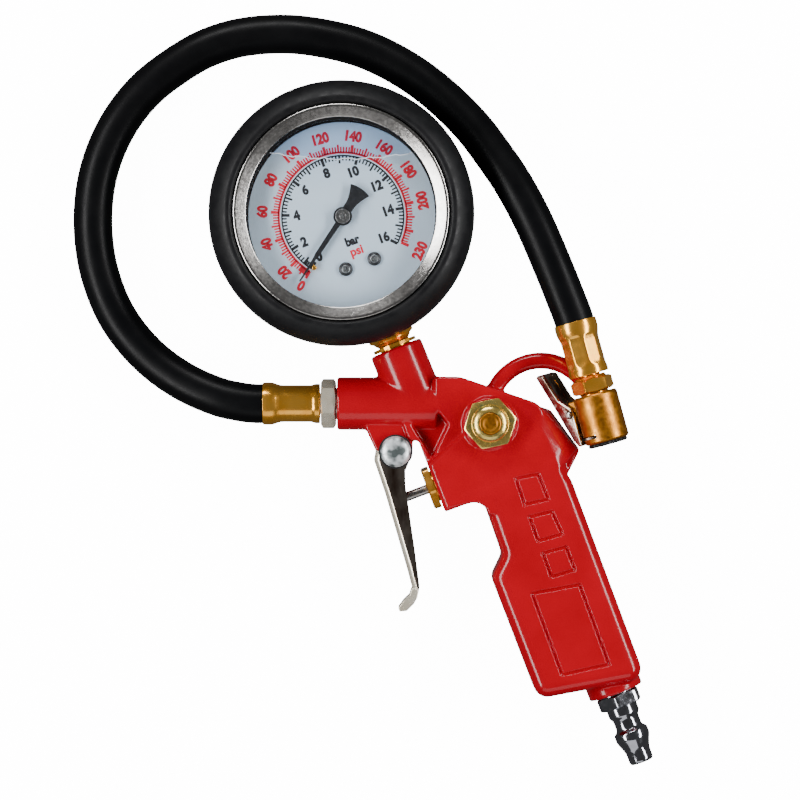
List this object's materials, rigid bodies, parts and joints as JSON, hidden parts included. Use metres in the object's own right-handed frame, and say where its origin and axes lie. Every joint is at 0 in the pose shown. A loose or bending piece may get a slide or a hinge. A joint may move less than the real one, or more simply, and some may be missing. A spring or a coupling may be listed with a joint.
{
  "type": "tire pressure gauge",
  "caption": "Tyre inflator pistol with a rubber-booted dial gauge, sprung trigger, deflate button, hose and clip-on chuck.",
  "frame": {"origin": "centre of the rubber boot's back face, on the surface that the tool lies on", "axes": "+Z out of the dial, +X along the barrel from the hose's outlet towards the back of the grip, +Y from the barrel towards the gauge"},
  "size_m": [0.1803, 0.2334, 0.0346],
  "materials": {
    "red_paint": "glossy red enamel on a die casting",
    "black_rubber": "satin black rubber",
    "steel": "zinc-plated and stainless steel",
    "chrome": "bright nickel and chrome plate",
    "brass": "turned and yellow-plated brass",
    "black_paint": "matt black enamel",
    "dial_white": "printed white dial",
    "window_clear": "clear flat window"
  },
  "bodies": {
    "gun": {"barrel_ferrule": "brass", "bezel_ring": "chrome", "bourdon_tube": "brass", "chuck_body": "brass", "chuck_core_pin": "brass", "chuck_ferrule": "brass", "chuck_lever_pin": "steel", "chuck_seal": "black_rubber", "chuck_spring": "steel", "chuck_tail": "brass", "deflate_seal": "black_rubber", "deflate_spring": "steel", "deflate_valve_body": "brass", "dial_plate": "dial_white", "dial_screw_left": "steel", "dial_screw_right": "steel", "fill_plug": "black_rubber", "gauge_boot": "black_rubber", "gauge_case": "steel", "gauge_socket": "brass", "gauge_window": "window_clear", "gland_o_ring": "black_rubber", "gun_body": "red_paint", "hairspring": "brass", "hose": "black_rubber", "hose_adapter": "steel", "inlet_filter_ring": "brass", "inlet_plug": "chrome", "movement_back_plate": "brass", "movement_front_plate": "brass", "movement_pillar_1": "steel", "movement_pillar_2": "steel", "stem_seal_washer": "brass", "trigger_pin": "steel", "trigger_pin_clip": "steel", "valve_gland_nut": "brass", "valve_spring": "steel", "window_gasket": "black_rubber", "zero_stop_pin": "brass"},
    "sector": {"sector_gear": "brass"},
    "pointer": {"pinion_shaft": "steel", "pointer": "black_paint", "pointer_hub": "steel"},
    "tube_link": {"movement_link": "brass", "tube_tip": "brass"},
    "trigger": {"trigger": "chrome"},
    "valve_rod": {"push_rod": "steel", "valve_poppet": "brass"},
    "deflate_button": {"deflate_button": "brass"},
    "chuck_lever": {"chuck_lever": "chrome"}
  },
  "joints": [
    {"name": "sector_turn", "type": "hinge", "parent": "gun", "child": "sector", "pos_m": [0.0135, -0.00673, 0.021], "axis": [0, 0, 1], "range_deg": [0, 45.56], "deforming": ["hairspring"]},
    {"name": "pointer_turn", "type": "hinge", "parent": "gun", "child": "pointer", "pos_m": [0.00045, -0.00111, 0.027], "axis": [0, 0, -1], "range_deg": [0, 262]},
    {"name": "tube_link_slide", "type": "slide", "parent": "gun", "child": "tube_link", "axis": [-0.3746, 0.9272, 0], "range_m": [0, 0.00387], "stiffness_N_per_m": 200, "springref_m": -0.0004, "deforming": ["bourdon_tube"]},
    {"name": "trigger_pivot", "type": "hinge", "parent": "gun", "child": "trigger", "pos_m": [0.01663, -0.07332, 0.013], "axis": [0, 0, 1], "range_deg": [0, 11], "stiffness_Nm_per_rad": 0.25, "springref_deg": -11.46},
    {"name": "valve_rod_slide", "type": "slide", "parent": "gun", "child": "valve_rod", "axis": [0.9367, 0.3502, 0], "range_m": [0, 0.0029], "deforming": ["valve_spring"]},
    {"name": "deflate_press", "type": "slide", "parent": "gun", "child": "deflate_button", "axis": [0, 0, -1], "range_m": [0, 0.0013], "stiffness_N_per_m": 600, "springref_m": -0.0015, "deforming": ["deflate_spring"]},
    {"name": "chuck_lever_pivot", "type": "hinge", "parent": "gun", "child": "chuck_lever", "pos_m": [0.07251, -0.06144, 0.01721], "axis": [0.5933, 0.1645, -0.788], "range_deg": [0, 3.8], "stiffness_Nm_per_rad": 0.05, "springref_deg": -17.19, "deforming": ["chuck_spring"]}
  ],
  "couplings": [
    {"joint": "sector_turn", "follows": "tube_link_slide", "rad_per_m": 205.37},
    {"joint": "pointer_turn", "follows": "tube_link_slide", "rad_per_m": 1180.9},
    {"joint": "valve_rod_slide", "follows": "trigger_pivot", "m_per_rad": 0.0144}
  ]
}
